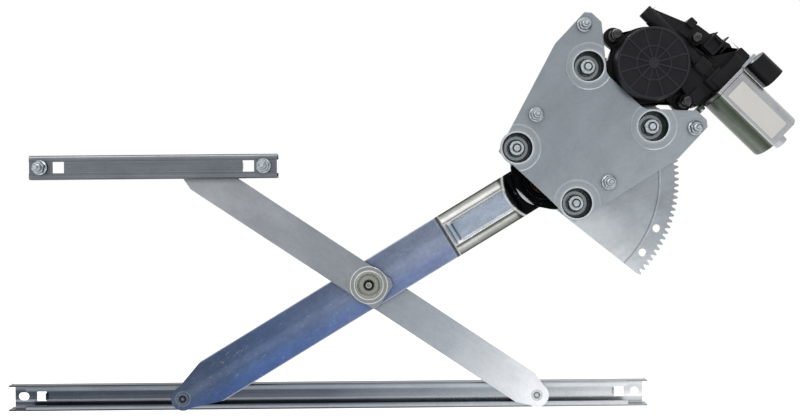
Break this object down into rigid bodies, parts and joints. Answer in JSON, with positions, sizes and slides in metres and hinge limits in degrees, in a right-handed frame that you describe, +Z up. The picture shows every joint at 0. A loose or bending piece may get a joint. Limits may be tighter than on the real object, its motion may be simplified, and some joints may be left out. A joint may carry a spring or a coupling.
{
  "type": "window regulator",
  "caption": "Power window regulator of the scissor type: motor, toothed sector and crossed arms that raise a glass channel from a fixed channel.",
  "frame": {"origin": "where the lift arm's pivot axis meets the front face of the mounting plate", "axes": "+X right along the channels, +Y away from the side with the nuts, +Z up"},
  "size_m": [0.7069, 0.056, 0.3597],
  "materials": {
    "zinc_plate": "zinc plated, satin",
    "zinc_lift_arm": "zinc plated with blue passivation, scratched",
    "zinc_equalizer": "zinc plated, satin",
    "zinc_sector": "zinc plated, satin",
    "zinc_fixed_channel": "zinc plated, darker",
    "zinc_glass_channel": "zinc plated, satin",
    "bright_fasteners": "bright zinc",
    "black_spring_steel": "black, oiled",
    "black_housing_plastic": "moulded, glass filled",
    "plated_can": "zinc plated, greenish",
    "ferrite": "sintered",
    "brass": "plain",
    "carbon": "pressed carbon",
    "gear_steel": "machined",
    "pale_nylon": "moulded"
  },
  "bodies": {
    "door_frame": {"mounting_plate": "zinc_plate", "base_plate": "zinc_plate", "plate_studs": "bright_fasteners", "plate_nuts": "bright_fasteners", "door_studs": "bright_fasteners", "door_stud_nuts": "bright_fasteners", "pivot_bush": "brass", "counterbalance_spring": "black_spring_steel", "spring_anchor": "zinc_plate", "gear_housing": "black_housing_plastic", "gear_cover": "black_housing_plastic", "motor_screws": "black_spring_steel", "motor_can": "plated_can", "yoke_flange": "zinc_plate", "yoke_screws": "bright_fasteners", "magnets": "ferrite", "rear_bearing": "brass", "brush_holder": "black_housing_plastic", "brushes": "carbon", "connector_socket": "black_housing_plastic", "connector_pins": "brass", "fixed_channel": "zinc_fixed_channel", "fixed_channel_studs": "bright_fasteners", "fixed_channel_nuts": "bright_fasteners"},
    "lift_arm_assembly": {"lift_arm": "zinc_lift_arm", "sector_gear": "zinc_sector", "sector_rivets": "bright_fasteners", "main_pivot_pin": "bright_fasteners", "pivot_retaining_ring": "bright_fasteners", "lift_roller_pin": "bright_fasteners"},
    "drive_gear": {"worm_wheel": "pale_nylon", "output_pinion": "gear_steel", "pinion_clip": "bright_fasteners"},
    "armature": {"armature_shaft": "gear_steel", "armature_core": "gear_steel", "commutator": "brass"},
    "equalizer_arm": {"equalizer_front_arm": "zinc_equalizer", "equalizer_rear_arm": "zinc_equalizer", "centre_pivot_rivet": "bright_fasteners", "centre_washer": "zinc_equalizer", "upper_roller_pin": "bright_fasteners", "lower_roller_pin": "bright_fasteners"},
    "lift_roller": {"lift_roller": "pale_nylon"},
    "glass_channel": {"glass_channel": "zinc_glass_channel"},
    "upper_roller": {"upper_roller": "pale_nylon"},
    "lower_roller": {"lower_roller": "pale_nylon"}
  },
  "joints": [
    {"name": "lift_arm_pivot", "type": "hinge", "parent": "door_frame", "child": "lift_arm_assembly", "pos_m": [0, 0, 0], "axis": [0, 1, 0], "range_deg": [-9, 31]},
    {"name": "drive_gear_spin", "type": "hinge", "parent": "door_frame", "child": "drive_gear", "pos_m": [0.09456, 0, 0.09965], "axis": [0, 1, 0], "range_deg": [-257, 76]},
    {"name": "armature_spin", "type": "hinge", "parent": "door_frame", "child": "armature", "pos_m": [0.1164, 0.001, 0.12179], "axis": [0.712, 0, -0.7022], "continuous": true},
    {"name": "equalizer_pivot", "type": "hinge", "parent": "lift_arm_assembly", "child": "equalizer_arm", "pos_m": [-0.15643, 0, -0.09399], "axis": [0, 1, 0], "range_deg": [-61.5, 18.5]},
    {"name": "lift_roller_pivot", "type": "hinge", "parent": "lift_arm_assembly", "child": "lift_roller", "pos_m": [-0.32572, 0, -0.19571], "axis": [0, 1, 0], "range_deg": [-29.5, 9]},
    {"name": "glass_channel_slide", "type": "slide", "parent": "lift_roller", "child": "glass_channel", "axis": [1, 0, 0], "range_m": [-0.003, 0.117]},
    {"name": "upper_roller_spin", "type": "hinge", "parent": "equalizer_arm", "child": "upper_roller", "pos_m": [-0.31692, 0.006, 0.01375], "axis": [0, 1, 0], "continuous": true},
    {"name": "lower_roller_spin", "type": "hinge", "parent": "equalizer_arm", "child": "lower_roller", "pos_m": [-0.00491, 0.032, -0.19571], "axis": [0, 1, 0], "continuous": true}
  ],
  "couplings": [
    {"joint": "drive_gear_spin", "follows": "lift_arm_pivot", "ratio": -8.2353},
    {"joint": "equalizer_pivot", "follows": "lift_arm_pivot", "ratio": -1.9643},
    {"joint": "lift_roller_pivot", "follows": "lift_arm_pivot", "ratio": -0.9353}
  ]
}
